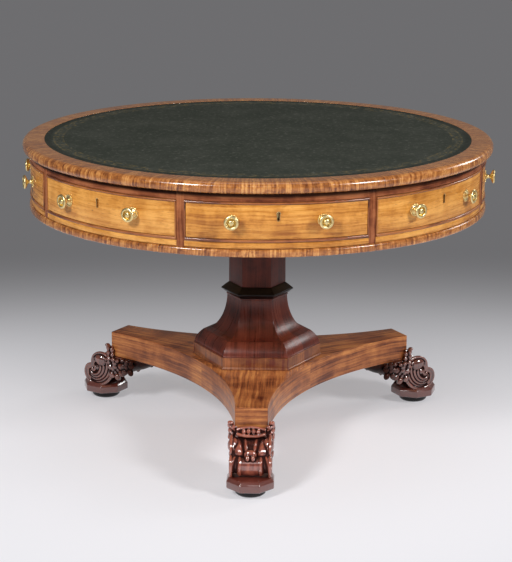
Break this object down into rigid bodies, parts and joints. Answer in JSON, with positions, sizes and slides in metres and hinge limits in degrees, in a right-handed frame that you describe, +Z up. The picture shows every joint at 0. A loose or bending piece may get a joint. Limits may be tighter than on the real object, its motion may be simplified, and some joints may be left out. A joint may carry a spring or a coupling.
{
  "type": "revolving drum table",
  "caption": "Round revolving drum table with a leather-lined top, a frieze of drawers and dummy drawers, a six-sided column and a three-legged platform on scroll feet.",
  "frame": {"origin": "on the column's axis, at the floor", "axes": "+Z up along the column; -Y out of the front drawer; +X out of the drawer on its right"},
  "size_m": [1.1699, 1.17, 0.766],
  "materials": {
    "leather": "worn green hide",
    "crossbanding": "polished",
    "frieze_veneer": "polished",
    "dark_mahogany": "polished",
    "column_mahogany": "polished",
    "carved_mahogany": "polished",
    "ebonised_wood": "polished",
    "carcase_pine": "bare",
    "drawer_oak": "bare",
    "brass": "lacquered",
    "iron": "forged"
  },
  "bodies": {
    "base": {"platform": "column_mahogany", "base_plinth": "column_mahogany", "base_moulding": "column_mahogany", "column_flare": "column_mahogany", "column_collar": "ebonised_wood", "column_shaft": "column_mahogany", "tie_rod": "iron", "tie_nut": "iron", "pivot_pin": "iron", "bearing_ring": "brass", "scroll_foot_1": "carved_mahogany", "scroll_foot_2": "carved_mahogany", "scroll_foot_3": "carved_mahogany", "foot_plinths": "carved_mahogany", "foot_pads": "ebonised_wood"},
    "drum": {"leather_panel": "leather", "top_board": "carcase_pine", "top_rim": "crossbanding", "upper_rails": "frieze_veneer", "lower_rails": "frieze_veneer", "bottom_moulding": "crossbanding", "drum_floor": "carcase_pine", "stiles": "dark_mahogany", "partitions": "carcase_pine", "drawer_runners": "carcase_pine", "drawer_kickers": "carcase_pine", "core_walls": "carcase_pine", "pivot_block": "carcase_pine", "dummy_fronts": "frieze_veneer", "dummy_cockbeads": "dark_mahogany", "dummy_brassware": "brass", "top_screws": "iron"},
    "drawer_1": {"drawer_1_front": "frieze_veneer", "drawer_1_cockbeads": "dark_mahogany", "drawer_1_box": "drawer_oak", "drawer_1_bottom": "drawer_oak", "drawer_1_brassware": "brass", "drawer_1_lock_case": "brass"},
    "lock_bolt_1": {"drawer_1_lock_bolt": "brass"},
    "drawer_2": {"drawer_2_front": "frieze_veneer", "drawer_2_cockbeads": "dark_mahogany", "drawer_2_box": "drawer_oak", "drawer_2_bottom": "drawer_oak", "drawer_2_brassware": "brass", "drawer_2_lock_case": "brass"},
    "lock_bolt_2": {"drawer_2_lock_bolt": "brass"},
    "drawer_3": {"drawer_3_front": "frieze_veneer", "drawer_3_cockbeads": "dark_mahogany", "drawer_3_box": "drawer_oak", "drawer_3_bottom": "drawer_oak", "drawer_3_brassware": "brass", "drawer_3_lock_case": "brass"},
    "lock_bolt_3": {"drawer_3_lock_bolt": "brass"},
    "drawer_4": {"drawer_4_front": "frieze_veneer", "drawer_4_cockbeads": "dark_mahogany", "drawer_4_box": "drawer_oak", "drawer_4_bottom": "drawer_oak", "drawer_4_brassware": "brass", "drawer_4_lock_case": "brass"},
    "lock_bolt_4": {"drawer_4_lock_bolt": "brass"}
  },
  "joints": [
    {"name": "drum_turn", "type": "hinge", "parent": "base", "child": "drum", "pos_m": [0, 0, 0.593], "axis": [0, 0, 1], "continuous": true},
    {"name": "drawer_1_slide", "type": "slide", "parent": "drum", "child": "drawer_1", "axis": [0, -1, 0], "range_m": [0, 0.24]},
    {"name": "drawer_2_slide", "type": "slide", "parent": "drum", "child": "drawer_2", "axis": [1, 0, 0], "range_m": [0, 0.24]},
    {"name": "drawer_3_slide", "type": "slide", "parent": "drum", "child": "drawer_3", "axis": [0, 1, 0], "range_m": [0, 0.24]},
    {"name": "drawer_4_slide", "type": "slide", "parent": "drum", "child": "drawer_4", "axis": [-1, 0, 0], "range_m": [0, 0.24]},
    {"name": "lock_bolt_1_slide", "type": "slide", "parent": "drawer_1", "child": "lock_bolt_1", "axis": [0, 0, 1], "range_m": [0, 0.008]},
    {"name": "lock_bolt_2_slide", "type": "slide", "parent": "drawer_2", "child": "lock_bolt_2", "axis": [0, 0, 1], "range_m": [0, 0.008]},
    {"name": "lock_bolt_3_slide", "type": "slide", "parent": "drawer_3", "child": "lock_bolt_3", "axis": [0, 0, 1], "range_m": [0, 0.008]},
    {"name": "lock_bolt_4_slide", "type": "slide", "parent": "drawer_4", "child": "lock_bolt_4", "axis": [0, 0, 1], "range_m": [0, 0.008]}
  ]
}
